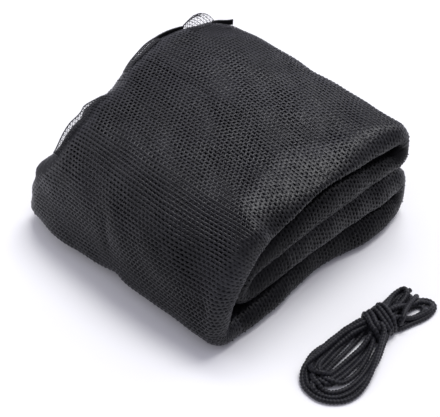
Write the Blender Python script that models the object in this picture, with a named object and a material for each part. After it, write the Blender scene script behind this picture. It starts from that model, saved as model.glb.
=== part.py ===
"""Trampoline safety net folded into a bundle, with its binding, loose layers and a hank of lacing cord.

The net is a closed band of knitted mesh. It is pressed flat, gathered to a quarter of its height and folded
in half, so its section is one ring of cloth: an outer wrap round an inner fold of two packets.
Metres, Z up. The origin is under the middle of the bundle, on the floor. The rounded fold edges face +X, the
smooth wrapped front faces -Y and the cut edges with their binding face -X.
"""

import math
from collections import namedtuple

import bmesh
import bpy
import numpy as np
from mathutils import Vector

for old in list(bpy.data.objects):
    bpy.data.objects.remove(old)

# Folded netting. Each row is a corner of the ring's middle line, seen along X, or a point on a straight run
# where its radius is 0. Sizes in metres:
# depth is Y, height is Z, radius rounds the corner, thickness is the packet's own,
# fold_tip, fold_nose and fold_droop shape the fold edge at +X, and edge_tip and edge_nose the cut edge at -X.
Fold = namedtuple(
    "Fold", "name depth height radius thickness fold_tip fold_nose fold_droop edge_tip edge_nose"
)
FOLDS = (
    Fold("top_back", 0.1250, 0.1030, 0.0162, 0.0200, 0.133, 0.014, 0.004, -0.130, 0.016),
    Fold("top_rear", 0.070, 0.1030, 0.0, 0.0270, 0.128, 0.026, 0.007, -0.136, 0.018),
    Fold("top_middle", 0.010, 0.1030, 0.0, 0.0280, 0.127, 0.038, 0.009, -0.129, 0.022),
    Fold("top_fore", -0.050, 0.1030, 0.0, 0.0280, 0.130, 0.028, 0.008, -0.118, 0.024),
    Fold("front_top", -0.1270, 0.1030, 0.0500, 0.0270, 0.133, 0.014, 0.002, -0.119, 0.022),
    Fold("front_middle", -0.1290, 0.0330, 0.0, 0.0260, 0.133, 0.012, 0.0, -0.128, 0.016),
    Fold("front_foot", -0.1290, 0.0110, 0.0140, 0.0220, 0.132, 0.012, 0.0, -0.132, 0.014),
    Fold("under_fore", -0.060, 0.0115, 0.0, 0.0230, 0.132, 0.013, 0.0, -0.136, 0.014),
    Fold("under_middle", 0.020, 0.0125, 0.0, 0.0250, 0.127, 0.013, 0.0, -0.138, 0.014),
    Fold("under_back", 0.1270, 0.0120, 0.0150, 0.0230, 0.136, 0.014, 0.0, -0.137, 0.014),
    Fold("low_back", 0.1270, 0.0420, 0.0150, 0.0250, 0.135, 0.018, 0.004, -0.137, 0.015),
    Fold("low_middle", 0.020, 0.0420, 0.0, 0.0270, 0.132, 0.018, 0.006, -0.138, 0.015),
    Fold("low_front", -0.101, 0.0380, 0.0135, 0.0240, 0.127, 0.016, 0.006, -0.136, 0.015),
    Fold("high_front", -0.101, 0.0650, 0.0135, 0.0240, 0.127, 0.016, 0.004, -0.130, 0.015),
    Fold("high_middle", 0.020, 0.0705, 0.0, 0.0270, 0.132, 0.018, 0.006, -0.135, 0.015),
    Fold("high_back", 0.1250, 0.0706, 0.0162, 0.0160, 0.131, 0.014, 0.002, -0.136, 0.015),
)
RUN_STEP = 0.0135  # spacing of the ring's sections on straight runs
TURN_STEP = math.radians(20.0)  # and on the turns, where the wide ones go by TURN_RUN instead
TURN_RUN = 0.0095
FLAT_COLUMNS = 7  # spans between the two edges, on each face of the cloth
NOSE_COLUMNS = 6  # spans round the fold edge
EDGE_COLUMNS = 4  # spans round the cut edge
LAYER_GAP = 0.0008  # clearance between pieces that lie against each other
FLOOR_REACH = 0.0015  # cloth this near the floor lies flat on it
CENTRING = (0.0035, 0.0015)  # moves the folds, as sized above, so that their box stands over the origin

# How the bundle has slumped: soft swells of its whole height, each a share of it, centred at (x, y).
Swell = namedtuple("Swell", "share x y reach_x reach_y")
SWELLS = (
    Swell(0.075, -0.010, 0.020, 0.110, 0.110),
    Swell(0.030, -0.060, 0.080, 0.050, 0.040),
    Swell(-0.028, 0.095, 0.030, 0.035, 0.060),
    Swell(-0.030, 0.000, 0.130, 0.060, 0.030),
    Swell(-0.050, -0.130, 0.130, 0.035, 0.035),
    Swell(-0.170, -0.140, -0.150, 0.040, 0.045),
    Swell(-0.080, -0.140, -0.060, 0.035, 0.060),
)

# Loose layers and webbing on the cut edges. Each row is one strip that follows the netting's surface.
# from_depth and to_depth bound it in Y, round_from and round_to say where it lies round the cut edge
# (0 is the top face, 1 the tip, 2 the under face), thickness is its own and lift how far its middle stands off.
# They run along the upper packet, whose sections come before place UPPER_END on the ring.
Strip = namedtuple("Strip", "name from_depth to_depth round_from round_to thickness lift rows columns")
STRIPS = (
    Strip("loose_layer_front", -0.124, -0.050, 0.15, 1.20, 0.0012, 0.0050, 14, 5),
    Strip("loose_layer_back", 0.077, 0.106, -0.05, 1.10, 0.0012, 0.0095, 10, 5),
    Strip("edge_binding", 0.002, 0.070, 0.35, 0.95, 0.0022, 0.0045, 14, 4),
)
UPPER_END = 4.5

# Strap end at the back corner. It stands on its edge, turned a little off the X axis.
STRAP_LENGTH, STRAP_WIDTH, STRAP_THICK = 0.022, 0.0075, 0.0020
STRAP_MIDDLE = (-0.0980, 0.1150, 0.1176)
STRAP_TURN = math.radians(30.0)
STRAP_TILT = math.radians(-3.0)

# Hank of lacing cord. Each row is a section across the hank's axis, which runs along Y: along is the distance
# from its waist, aside moves its middle towards -X, half_width and height are its own, and hollow is the dip
# along its middle.
Section = namedtuple("Section", "along aside half_width height hollow")
HANK_WAIST = (0.2185, -0.0085)
HANK_SECTIONS = (
    Section(-0.1060, -0.008, 0.0030, 0.0070, 0.0),
    Section(-0.1030, -0.010, 0.0130, 0.0110, 0.0),
    Section(-0.0920, -0.012, 0.0230, 0.0150, 0.0),
    Section(-0.0720, -0.010, 0.0290, 0.0180, 0.0060),
    Section(-0.0500, -0.008, 0.0280, 0.0200, 0.0070),
    Section(-0.0300, -0.005, 0.0220, 0.0210, 0.0030),
    Section(-0.0150, -0.002, 0.0170, 0.0250, 0.0),
    Section(0.0080, 0.000, 0.0170, 0.0270, 0.0),
    Section(0.0220, -0.004, 0.0200, 0.0230, 0.0),
    Section(0.0360, -0.004, 0.0250, 0.0200, 0.0050),
    Section(0.0500, -0.004, 0.0235, 0.0170, 0.0050),
    Section(0.0600, -0.004, 0.0150, 0.0120, 0.0),
    Section(0.0640, -0.006, 0.0040, 0.0070, 0.0),
)
HANK_ROWS = 44
HANK_COLUMNS = 30
STRAND_RIDGES = 9  # soft ridges left by the strands on the hank's outside
RIDGE_DEPTH = 0.0009
RIDGE_TWIST = 14.0  # radians of twist per metre of hank


def ease(share):
    """A smooth step from 0 to 1."""
    share = min(max(share, 0.0), 1.0)
    return share * share * (3.0 - 2.0 * share)


def rounded_ring(folds):
    """The ring's middle line: (depth, height, normal depth, normal height, place) for each section.

    place is the fold's number plus the share of the way to the next one. Normals point out of the ring.
    """
    corners = [Vector((fold.depth, fold.height)) for fold in folds]
    count = len(folds)
    ring = []
    for i, fold in enumerate(folds):
        corner, before, after = corners[i], corners[i - 1], corners[(i + 1) % count]
        arrive, leave = (corner - before).normalized(), (after - corner).normalized()
        turn = math.atan2(arrive.cross(leave), arrive.dot(leave))
        cut = fold.radius * abs(math.tan(turn / 2.0))
        next_fold = folds[(i + 1) % count]
        next_leave = (corners[(i + 2) % count] - after).normalized()
        next_turn = math.atan2(leave.cross(next_leave), leave.dot(next_leave))
        next_cut = next_fold.radius * abs(math.tan(next_turn / 2.0))
        if fold.radius > 0.0:
            side = math.copysign(1.0, turn)
            centre = corner - arrive * cut + Vector((-arrive.y, arrive.x)) * fold.radius * side
            steps = max(2, round(abs(turn) / TURN_STEP), round(abs(turn) * fold.radius / TURN_RUN))
            for step in range(steps):
                angle = turn * (step + 0.5) / steps
                heading = Vector((
                    arrive.x * math.cos(angle) - arrive.y * math.sin(angle),
                    arrive.x * math.sin(angle) + arrive.y * math.cos(angle),
                ))
                outward = Vector((heading.y, -heading.x))
                point = centre + outward * fold.radius * side
                ring.append((point.x, point.y, outward.x, outward.y, i + 0.1 * ((step + 0.5) / steps - 0.5)))
        run = (after - corner).length
        straight = run - cut - next_cut
        if straight < 0.002:
            continue
        outward = Vector((leave.y, -leave.x))
        steps = max(1, round(straight / RUN_STEP))
        for step in range(steps):
            reach = cut + straight * (step + 0.5) / steps
            point = corner + leave * reach
            ring.append((point.x, point.y, outward.x, outward.y, i + reach / run))
    return ring


def cloth_at(folds, place):
    """The cloth's sizes at a place on the ring, eased between its two folds."""
    i = math.floor(place)
    share = ease(place - i)
    here, there = folds[i % len(folds)], folds[(i + 1) % len(folds)]
    return Fold(*(
        [here.name] + [a + (b - a) * share for a, b in zip(here[1:], there[1:])]
    ))


def smooth_normals(ring):
    """Evens out the directions where one straight run leans against the next."""
    count = len(ring)
    evened = []
    for i, (y, z, _, _, place) in enumerate(ring):
        before, after = ring[i - 1], ring[(i + 1) % count]
        along = Vector((after[0] - before[0], after[1] - before[1])).normalized()
        evened.append((y, z, along.y, -along.x, place))
    return evened


def across(cloth):
    """(x, share of half the thickness, shift) round one section of the cloth: top, fold edge, under, cut edge."""
    columns = []
    fold_root = cloth.fold_tip - cloth.fold_nose
    edge_root = cloth.edge_tip + cloth.edge_nose
    for k in range(FLAT_COLUMNS + 1):
        columns.append((edge_root + (fold_root - edge_root) * k / FLAT_COLUMNS, 1.0, 0.0))
    for k in range(1, NOSE_COLUMNS):
        angle = math.pi * (0.5 - k / NOSE_COLUMNS)
        reach = math.cos(angle)
        columns.append((fold_root + cloth.fold_nose * reach, math.sin(angle), cloth.fold_droop * reach * reach))
    for k in range(FLAT_COLUMNS + 1):
        columns.append((fold_root + (edge_root - fold_root) * k / FLAT_COLUMNS, -1.0, 0.0))
    for k in range(1, EDGE_COLUMNS):
        angle = math.pi * (-0.5 + k / EDGE_COLUMNS)
        columns.append((edge_root - cloth.edge_nose * math.cos(angle), math.sin(angle), 0.0))
    return columns


def slumped(point):
    """Where a point of the plain bundle lies once the cloth has slumped. The floor stays flat."""
    x, y, z = point
    rise = 0.0
    for swell in SWELLS:
        apart = ((x - swell.x) / swell.reach_x) ** 2 + ((y - swell.y) / swell.reach_y) ** 2
        rise += swell.share * math.exp(-apart)
    z *= 1.0 + rise
    return Vector((x + CENTRING[0], y + CENTRING[1], z if z > FLOOR_REACH else 0.0))


def surface_point(section, x, share, shift, lift=0.0):
    """A point of the cloth's surface, lifted off it by lift."""
    y, z, out_y, out_z, place = section
    reach = share * cloth_at(FOLDS, place).thickness / 2.0 - shift + lift
    return slumped((x, y + out_y * reach, z + out_z * reach))


def add_body(name, rows, colour, roughness, closed_along=False):
    """One closed body from rows of points, each row a closed outline. Open ends are capped."""
    count, around = len(rows), len(rows[0])
    mesh = bmesh.new()
    verts = [[mesh.verts.new(point) for point in row] for row in rows]
    for i in range(count if closed_along else count - 1):
        row, following = verts[i], verts[(i + 1) % count]
        for j in range(around):
            k = (j + 1) % around
            mesh.faces.new((row[j], row[k], following[k], following[j]))
    if not closed_along:
        mesh.faces.new(list(reversed(verts[0])))
        mesh.faces.new(verts[-1])
    bmesh.ops.triangulate(mesh, faces=mesh.faces)
    bmesh.ops.recalc_face_normals(mesh, faces=mesh.faces)
    if mesh.calc_volume(signed=True) < 0.0:
        bmesh.ops.reverse_faces(mesh, faces=mesh.faces)
    data = bpy.data.meshes.new(name)
    mesh.to_mesh(data)
    mesh.free()
    body = bpy.data.objects.new(name, data)
    bpy.context.scene.collection.objects.link(body)
    material = bpy.data.materials.new(name)
    material.use_nodes = True
    shader = material.node_tree.nodes["Principled BSDF"]
    shader.inputs["Base Color"].default_value = (*colour, 1.0)
    shader.inputs["Roughness"].default_value = roughness
    data.materials.append(material)
    return body


def add_netting():
    """The folded net: one ring of cloth with a rounded fold edge and a rounded cut edge."""
    ring = smooth_normals(rounded_ring(FOLDS))
    rows = []
    for section in ring:
        columns = across(cloth_at(FOLDS, section[4]))
        rows.append([surface_point(section, *column) for column in columns])
    add_body("folded_netting", rows, (0.030, 0.031, 0.035), 0.75, closed_along=True)
    return ring


def outer_depth(section):
    """How far back the outside of this section lies."""
    return section[0] + section[2] * cloth_at(FOLDS, section[4]).thickness / 2.0


def upper_section(ring, depth):
    """The section of the upper packet at this depth, between the two nearest ones."""
    upper = sorted((section for section in ring if section[4] < UPPER_END), key=outer_depth)
    for near, far in zip(upper, upper[1:]):
        near_depth, far_depth = outer_depth(near), outer_depth(far)
        if near_depth <= depth <= far_depth:
            share = (depth - near_depth) / (far_depth - near_depth)
            return tuple(a + (b - a) * share for a, b in zip(near, far))
    return upper[0] if depth < outer_depth(upper[0]) else upper[-1]


def edge_point(section, along, lift):
    """A point round the cut edge: along is 0 on the upper face, 1 at the tip and 2 on the under face."""
    cloth = cloth_at(FOLDS, section[4])
    angle = math.pi / 2.0 * (1.0 - along)
    x = cloth.edge_tip + cloth.edge_nose * (1.0 - math.cos(angle))
    half = cloth.thickness / 2.0
    slant = Vector((-math.cos(angle) / cloth.edge_nose, math.sin(angle) / half)).normalized()
    return surface_point(section, x + slant.x * lift, math.sin(angle), 0.0, slant.y * lift)


def add_strip(ring, strip, colour, roughness):
    """A thin strip that follows the cut edge and stands off it in the middle."""
    rows = []
    for i in range(strip.rows + 1):
        share = i / strip.rows
        section = upper_section(ring, strip.from_depth + (strip.to_depth - strip.from_depth) * share)
        arch = math.sin(math.pi * share) ** 0.8
        under, over = [], []
        for j in range(strip.columns + 1):
            across_share = j / strip.columns
            along = strip.round_from + (strip.round_to - strip.round_from) * across_share
            off = LAYER_GAP + strip.lift * arch * math.sin(math.pi * (0.15 + 0.7 * across_share))
            under.append(edge_point(section, along, off))
            over.append(edge_point(section, along, off + strip.thickness))
        rows.append(under + over[::-1])
    add_body(strip.name, rows, colour, roughness)


def add_strap_end():
    """The short end of webbing that pokes out over the back corner."""
    level = Vector((math.cos(STRAP_TURN), math.sin(STRAP_TURN), 0.0))
    side = Vector((-level.y, level.x, 0.0))
    turn = level * math.cos(STRAP_TILT) + Vector((0.0, 0.0, math.sin(STRAP_TILT)))
    rise = Vector((0.0, 0.0, math.cos(STRAP_TILT))) - level * math.sin(STRAP_TILT)
    middle = Vector(STRAP_MIDDLE)
    rows = []
    for step in range(7):
        along = STRAP_LENGTH * (step / 6.0 - 0.5)
        centre = middle + turn * along + side * 0.0006 * math.sin(step)
        half = rise * STRAP_WIDTH / 2.0
        thick = side * STRAP_THICK / 2.0
        rows.append([centre - half - thick, centre - half + thick, centre + half + thick, centre + half - thick])
    add_body("strap_end", rows, (0.012, 0.012, 0.013), 0.45)


def hank_section(along):
    """The hank's section at this place on its axis."""
    for here, there in zip(HANK_SECTIONS, HANK_SECTIONS[1:]):
        if along <= there.along:
            share = ease((along - here.along) / (there.along - here.along))
            return Section(*(a + (b - a) * share for a, b in zip(here, there)))
    return HANK_SECTIONS[-1]


def add_hank():
    """The wound cord as one body, with the dip of its loops and the soft ridges of its strands."""
    start, end = HANK_SECTIONS[0].along, HANK_SECTIONS[-1].along
    rows = []
    for i in range(HANK_ROWS + 1):
        along = start + (end - start) * (0.5 - 0.5 * math.cos(math.pi * i / HANK_ROWS))
        section = hank_section(along)
        row = []
        for j in range(HANK_COLUMNS):
            angle = 2.0 * math.pi * j / HANK_COLUMNS
            ridge = RIDGE_DEPTH * math.cos(STRAND_RIDGES * angle + RIDGE_TWIST * along)
            ridge *= min(1.0, section.half_width / 0.012)
            aside = (section.half_width + ridge) * math.cos(angle)
            height = section.height * (0.5 + 0.5 * math.sin(angle)) + ridge * math.sin(angle)
            dip = section.hollow * math.exp(-((aside / (0.38 * section.half_width)) ** 2))
            height -= dip * max(math.sin(angle), 0.0)
            height = height if height > FLOOR_REACH else 0.0
            row.append(Vector((HANK_WAIST[0] - section.aside - aside, HANK_WAIST[1] + along, height)))
        rows.append(row)
    add_body("lacing_cord", rows, (0.030, 0.030, 0.033), 0.6)


netting_ring = add_netting()
for each_strip in STRIPS:
    loose = each_strip.name.startswith("loose")
    add_strip(netting_ring, each_strip, (0.05, 0.05, 0.06) if loose else (0.012, 0.012, 0.013), 0.7 if loose else 0.4)
add_strap_end()
add_hank()
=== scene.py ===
"""Looks of the folded trampoline safety net: its knitted mesh, loose layers, webbing and lacing cord.

The net lies on the folds of the CAD model: a dense sheet is laid on them first, and the knitted bars and
bridges of the mesh are then laid on that sheet, a finer layer over a plainer one. The lacing cord is one long
tube, wound by a formula and then settled so that its turns lie on and beside each other.
Metres, Z up, in the frame of the CAD model.
"""
import math
from collections import namedtuple

import bpy
import numpy as np
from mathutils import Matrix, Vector


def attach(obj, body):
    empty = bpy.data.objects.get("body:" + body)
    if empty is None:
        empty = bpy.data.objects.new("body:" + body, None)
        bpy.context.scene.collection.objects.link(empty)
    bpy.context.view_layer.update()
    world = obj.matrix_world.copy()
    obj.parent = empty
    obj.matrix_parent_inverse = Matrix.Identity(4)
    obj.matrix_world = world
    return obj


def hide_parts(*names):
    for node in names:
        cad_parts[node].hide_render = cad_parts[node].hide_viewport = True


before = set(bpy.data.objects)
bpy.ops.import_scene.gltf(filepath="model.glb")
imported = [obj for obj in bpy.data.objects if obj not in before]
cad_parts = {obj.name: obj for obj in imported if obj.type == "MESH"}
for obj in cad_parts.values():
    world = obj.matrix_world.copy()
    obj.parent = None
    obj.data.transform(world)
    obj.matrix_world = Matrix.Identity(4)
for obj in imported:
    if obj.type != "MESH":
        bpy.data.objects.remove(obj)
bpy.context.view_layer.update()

# Camera
VIEW_AZIMUTH = math.radians(45.0)
VIEW_ELEVATION = math.radians(44.0)
VIEW_DISTANCE = 1.335
VIEW_TARGET = Vector((0.0035, 0.0015, 0.0))
LENS_MM = 109.2
SENSOR_MM = 36.0

# Lacing cord. Each row is one turn of the hank: far, left and right size its long loop, near its short one,
# which lies between near_left and near_right. Distances are from the waist, and left is towards -X.
Turn = namedtuple("Turn", "far left right near near_left near_right")
TURNS = (
    Turn(0.0960, 0.0225, 0.0075, 0.0500, 0.0140, 0.0040),
    Turn(0.0985, 0.0030, 0.0300, 0.0600, -0.0010, -0.0265),
    Turn(0.0900, 0.0190, 0.0125, 0.0540, 0.0185, 0.0005),
    Turn(0.0945, 0.0100, 0.0245, 0.0500, -0.0050, -0.0190),
    Turn(0.0840, 0.0150, 0.0185, 0.0520, 0.0165, 0.0060),
    Turn(0.0880, 0.0210, 0.0030, 0.0575, -0.0110, -0.0255),
    Turn(0.1010, 0.0210, 0.0350, 0.0, 0.0, 0.0),
)
CORD_DIAMETER = 0.0045
HANK_WAIST = (0.2185, -0.0085)
HANK_LEAN = -0.004  # how far the long loops lean to the right at their ends
LOOP_POINTS = 60
WRAP_TURNS = 5.4
WRAP_POINTS = 22
WRAP_START = math.radians(-100.0)
WRAP_TILT = 0.36  # the wraps lean over the hank's axis
FIRST_END = (0.0575, 0.0080, 0.0045)  # along, aside and height of the cord's two free ends
LAST_END = (0.0545, -0.0005, 0.0045)
WRAP_ALONG = -0.0115  # where the wraps start along the hank
WRAP_HALF_WIDTH = 3.3 * CORD_DIAMETER
WRAP_HALF_HEIGHT = 2.75 * CORD_DIAMETER
LOOP_WOBBLE = 0.0064
END_ARCH = 0.006
CORD_STEP = 0.0032  # spacing of the cord's points while it settles
TUBE_STEP = 0.00065  # and once it is drawn
BRAID_PERIOD = 0.0032
BRAID_GROOVE_SHADE, BRAID_RIDGE_HIGHLIGHT = 0.30, 1.5  # the braid's painted shade in its grooves, and how much lighter its ridges are as painted highlight
SETTLE_ROUNDS = 420
SINK_STEP = 0.00006
WRAP_DRAW = 0.24  # the share of its length that the wrap loses as it draws tight
ROUTE_HOLD = 0.014  # how strongly the loops keep to their route


def add_camera():
    """The camera looks down on the near corner of the bundle."""
    data = bpy.data.cameras.new("camera")
    data.lens = LENS_MM
    data.sensor_width = SENSOR_MM
    camera = bpy.data.objects.new("camera", data)
    bpy.context.scene.collection.objects.link(camera)
    ahead = Vector((
        -math.sin(VIEW_AZIMUTH) * math.cos(VIEW_ELEVATION),
        math.cos(VIEW_AZIMUTH) * math.cos(VIEW_ELEVATION),
        -math.sin(VIEW_ELEVATION),
    ))
    camera.location = VIEW_TARGET - ahead * VIEW_DISTANCE
    camera.rotation_euler = ahead.to_track_quat("-Z", "Y").to_euler()
    bpy.context.scene.camera = camera


def mesh_piece(name, points, faces, material, smooth=True, painted_shading=None):
    """A mesh object from arrays of points and of faces, all with the same number of corners. The last
    argument multiplies the colour of its yarn at each point, with painted light and painted shade."""
    points = np.asarray(points, np.float32).reshape(-1, 3)
    painted_shading = np.ones(len(points)) if painted_shading is None else np.ravel(painted_shading)
    faces = np.asarray(faces, np.int32)
    used, compact = np.unique(faces, return_inverse=True)
    faces = compact.reshape(faces.shape)
    points = points[used]
    sides = faces.shape[1]
    mesh = bpy.data.meshes.new(name)
    mesh.vertices.add(len(points))
    mesh.vertices.foreach_set("co", points.ravel())
    mesh.loops.add(faces.size)
    mesh.loops.foreach_set("vertex_index", faces.ravel().astype(np.int32))
    mesh.polygons.add(len(faces))
    mesh.polygons.foreach_set("loop_start", np.arange(0, faces.size, sides, dtype=np.int32))
    mesh.polygons.foreach_set("use_smooth", np.full(len(faces), smooth))
    mesh.update(calc_edges=True)
    painted_shading_attribute = mesh.attributes.new("painted_shading", "FLOAT", "POINT")
    painted_shading_attribute.data.foreach_set("value", painted_shading[used].astype(np.float32))
    mesh.materials.append(material)
    piece = bpy.data.objects.new(name, mesh)
    bpy.context.scene.collection.objects.link(piece)
    return piece


def joined(groups):
    """One set of points and faces from several."""
    points, faces, before = [], [], 0
    for more_points, more_faces in groups:
        points.append(more_points)
        faces.append(more_faces + before)
        before += len(more_points)
    return np.vstack(points), np.vstack(faces)


def ribbon_mesh(stations, keep=None):
    """Points and quads of many ribbons, from an array of (ribbon, along, across, xyz). Where keep is given, a
    quad is made only between two stations that it keeps."""
    ribbons, along, across = stations.shape[:3]
    index = np.arange(ribbons * along * across).reshape(ribbons, along, across)
    faces = np.stack([
        index[:, :-1, :-1], index[:, 1:, :-1], index[:, 1:, 1:], index[:, :-1, 1:]
    ], axis=-1)
    if keep is not None:
        faces = faces[keep[:, :-1] & keep[:, 1:]]
    return stations.reshape(-1, 3), faces.reshape(-1, 4)


def tube_faces(lines, long, around):
    """Quads of tubes: each line has long rings, one after another, of around points."""
    index = np.arange(lines * long * around).reshape(lines, long, around)
    after = np.roll(index, -1, axis=2)
    return np.stack([index[:, :-1], after[:, :-1], after[:, 1:], index[:, 1:]], axis=-1).reshape(-1, 4)


def nearness(points, patch):
    """1 at the patch's point, and less within its reach of it."""
    return np.exp(-np.sum(((points - np.array(patch.point)) / np.array(patch.reach)) ** 2, axis=-1))


# ---- Lacing cord ----


def waist_slots():
    """Where each turn's two limbs pass the waist: (aside, height), stacked two wide on either side."""
    slots = []
    for k in range(len(TURNS)):
        row, column = divmod(k, 2)
        slots.append((CORD_DIAMETER * (0.5 + column + 0.25 * (row % 2)), CORD_DIAMETER * (1.5 + 0.87 * row)))
    return slots


def cord_loop(reach, first, last, lean, start, end, wobble=0.0):
    """One drop-shaped loop from the waist and back, as arrays of distance, aside and height."""
    turn = np.linspace(0.0, 2.0 * math.pi, LOOP_POINTS, endpoint=False)
    away = (1.0 - np.cos(turn)) / 2.0
    bow = np.abs(np.sin(turn)) ** 0.8 * np.sin(turn / 2.0) / 0.8
    outward = turn < math.pi
    aside = np.where(outward, first, last) * bow + lean * away
    aside += np.where(outward, start[0], end[0]) * (1.0 - away) ** 2
    aside += wobble * LOOP_WOBBLE * np.sin(3.0 * turn + 16.8 * wobble) * away * (1.0 - away)
    resting = CORD_DIAMETER / 2.0
    height = resting + (np.where(outward, start[1], end[1]) - resting) * (1.0 - away) ** 1.5
    return reach * away, aside, height


def cord_route():
    """The cord's first route, as (along, aside, height), and where its wraps start and end."""
    slots = waist_slots()
    lead = np.linspace(0.0, 1.0, 14, endpoint=False)[:, None]
    first = np.array(FIRST_END)
    stretches = [first + (np.array((0.0, *slots[0])) - first) * lead]
    for k, turn in enumerate(TURNS):
        left, right = slots[k], (-slots[k][0], slots[k][1])
        lift = 0.0010 * k
        wobble = math.sin(9.0 * k + 1.0)
        along, aside, height = cord_loop(turn.far, turn.left, -turn.right, HANK_LEAN, left, right, wobble)
        stretches.append(np.c_[-along, aside, height + lift])
        if turn.near > 0.0:
            middle = (turn.near_left + turn.near_right) / 2.0
            half = (turn.near_left - turn.near_right) / 2.0
            along, aside, height = cord_loop(turn.near, -half, half, middle, right, slots[k + 1])
            stretches.append(np.c_[along, aside, height + lift])
    turns = np.arange(int(WRAP_POINTS * WRAP_TURNS)) / WRAP_POINTS
    angle = WRAP_START - 2.0 * math.pi * turns
    aside = WRAP_HALF_WIDTH * np.cos(angle)
    height = CORD_DIAMETER / 2.0 + WRAP_HALF_HEIGHT * (1.0 + np.sin(angle))
    tilt = WRAP_TILT * aside * np.where(np.sin(angle) > 0.0, 1.0, 0.8)
    along = WRAP_ALONG + 1.03 * CORD_DIAMETER * turns + tilt
    before = sum(len(stretch) for stretch in stretches)
    stretches.append(np.c_[along, aside, height])
    after = before + len(along)
    tail = np.linspace(0.0, 1.0, 13)[1:, None]
    last = stretches[-1][-1]
    arch = np.c_[np.zeros((12, 2)), END_ARCH * np.sin(math.pi * tail)]
    stretches.append(last + (np.array(LAST_END) - last) * tail + arch)
    return np.vstack(stretches), before, after


def evenly(points, step):
    """The same line with its points a step apart, and the distance along it of each old point."""
    reach = np.r_[0.0, np.cumsum(np.linalg.norm(np.diff(points, axis=0), axis=1))]
    places = np.linspace(0.0, reach[-1], round(reach[-1] / step) + 1)
    return np.column_stack([np.interp(places, reach, points[:, i]) for i in range(3)]), reach


def keep_lengths(line, rest):
    """Pulls each stretch of the line back to its own length."""
    for start in (0, 1):
        here, there = line[start:-1:2], line[start + 1::2]
        apart = there - here
        length = np.linalg.norm(apart, axis=1, keepdims=True)
        pull = apart * (length - rest[start::2]) / np.maximum(length, 1e-9) * 0.5
        here += pull
        there -= pull


def push_apart(line, first, second):
    """Moves the points that lie less than a diameter apart away from each other."""
    apart = line[first] - line[second]
    gap = np.linalg.norm(apart, axis=1)
    close = gap < CORD_DIAMETER
    first, second, gap = first[close], second[close], gap[close, None]
    push = apart[close] / np.maximum(gap, 1e-6) * (CORD_DIAMETER - gap) * 0.5
    moved, hits = np.zeros_like(line), np.zeros(len(line))
    np.add.at(moved, first, push)
    np.add.at(moved, second, -push)
    np.add.at(hits, first, 1.0)
    np.add.at(hits, second, 1.0)
    line += moved / np.maximum(1.0, 0.6 * hits)[:, None]


def settle_cord():
    """Lets the turns sink onto each other while the wraps draw tight. Returns (along, aside, height)."""
    route, before, after = cord_route()
    line, reach = evenly(route, CORD_STEP)
    count = len(line)
    wrap = slice(int(reach[before] / reach[-1] * count), int(reach[after - 1] / reach[-1] * count))
    wrapped = np.zeros(count, bool)
    wrapped[wrap] = True
    for _ in range(6):
        line[1:-1] += (line[:-2] + line[2:] - 2.0 * line[1:-1]) * 0.25
    target = line.copy()
    rest = np.full((count - 1, 1), np.linalg.norm(np.diff(line, axis=0), axis=1).mean())
    loose = rest.copy()
    index = np.arange(count)
    far_along = np.abs(index[:, None] - index[None, :]) > 5
    hold = np.where(wrapped, 0.0, ROUTE_HOLD)
    for round_number in range(SETTLE_ROUNDS):
        line[:, 2] -= SINK_STEP * ~wrapped
        rest[wrap] = loose[wrap] * (1.0 - WRAP_DRAW * min(1.0, 1.5 * round_number / SETTLE_ROUNDS))
        line[wrap, 0] += (target[wrap, 0] - line[wrap, 0]) * 0.03
        line[:, :2] += (target[:, :2] - line[:, :2]) * hold[:, None]
        line[:, 2] += (target[:, 2] - line[:, 2]) * hold * 0.5
        bend = (np.roll(line, 1, 0) + np.roll(line, -1, 0)) / 2.0 - line
        bend[[0, -1]] = 0.0
        change = (np.roll(bend, 1, 0) + np.roll(bend, -1, 0)) / 2.0 - bend
        change[[0, 1, -2, -1]] = 0.0
        line += 0.10 * bend - 0.35 * change
        for _ in range(3):
            keep_lengths(line, rest)
        if round_number % 4 == 0:
            apart = line[:, None, :] - line[None, :, :]
            near = (np.einsum("ijk,ijk->ij", apart, apart) < (2.0 * CORD_DIAMETER) ** 2) & far_along
            first, second = np.nonzero(np.triu(near))
        for _ in range(3):
            push_apart(line, first, second)
        line[:, 2] = np.maximum(line[:, 2], CORD_DIAMETER / 2.0)
    return line


def smooth_line(points, step):
    """A smooth curve through the points, with its own points a step apart."""
    padded = np.vstack([2.0 * points[0] - points[1], points, 2.0 * points[-1] - points[-2]])
    share = (np.arange(8) / 8.0)[None, :, None]
    a, b, c, d = (padded[i:len(padded) - 3 + i, None, :] for i in range(4))
    curve = 0.5 * (
        2.0 * b + (c - a) * share + (2.0 * a - 5.0 * b + 4.0 * c - d) * share**2
        + (3.0 * b - a - 3.0 * c + d) * share**3
    )
    return evenly(np.vstack([curve.reshape(-1, 3), points[-1:]]), step)[0]


def frames_along(line):
    """Two directions across the line at each of its points, turning as little as they can."""
    ahead = np.gradient(line, axis=0)
    ahead /= np.linalg.norm(ahead, axis=1, keepdims=True)
    side = np.empty_like(line)
    current = np.cross(ahead[0], (0.0, 0.0, 1.0))
    for i, direction in enumerate(ahead):
        current = current - direction * np.dot(current, direction)
        current /= np.linalg.norm(current)
        side[i] = current
    return side, np.cross(ahead, side)


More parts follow.
